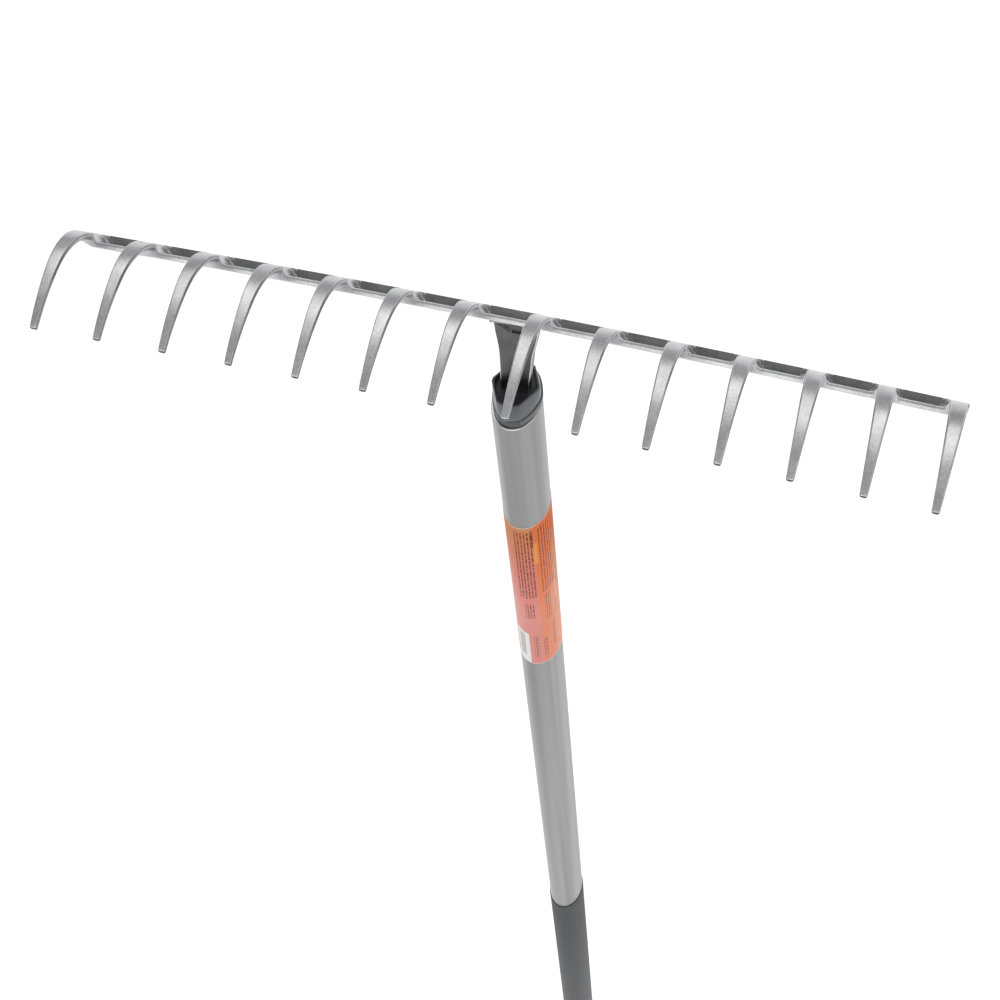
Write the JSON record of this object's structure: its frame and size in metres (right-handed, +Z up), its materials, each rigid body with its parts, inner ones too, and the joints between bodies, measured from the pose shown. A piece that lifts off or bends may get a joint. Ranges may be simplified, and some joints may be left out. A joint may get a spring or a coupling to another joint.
{
  "type": "garden rake",
  "caption": "Rigid cast-metal garden rake head with curved tines on a channel crossbar, neck and oval collar, on a long oval aluminium handle with a dark sleeve and end cap.",
  "frame": {"origin": "centre of the flat butt face at the lower end of the handle, on the handle's axis", "axes": "+Z up the handle axis towards the head, +X along the crossbar, tines point towards -Y"},
  "size_m": [0.4284, 0.0892, 1.6395],
  "materials": {
    "cast_aluminium": "satin cast, shot-blasted",
    "tube_aluminium": "satin anodised, drawn",
    "collar_plastic": "moulded, fine texture",
    "insert_plastic": "moulded",
    "sleeve_plastic": "soft matte",
    "cap_plastic": "moulded, fine texture",
    "label_film": "printed satin film",
    "screw_steel": "zinc plated"
  },
  "bodies": {
    "root": {"head_tines": "cast_aluminium", "head_crossbar": "cast_aluminium", "head_neck": "cast_aluminium", "socket_collar": "collar_plastic", "tang_insert": "insert_plastic", "head_screw": "screw_steel", "shaft_tube": "tube_aluminium", "product_label": "label_film", "grip_sleeve": "sleeve_plastic", "end_cap": "cap_plastic", "end_cap_screw": "screw_steel"}
  },
  "joints": []
}
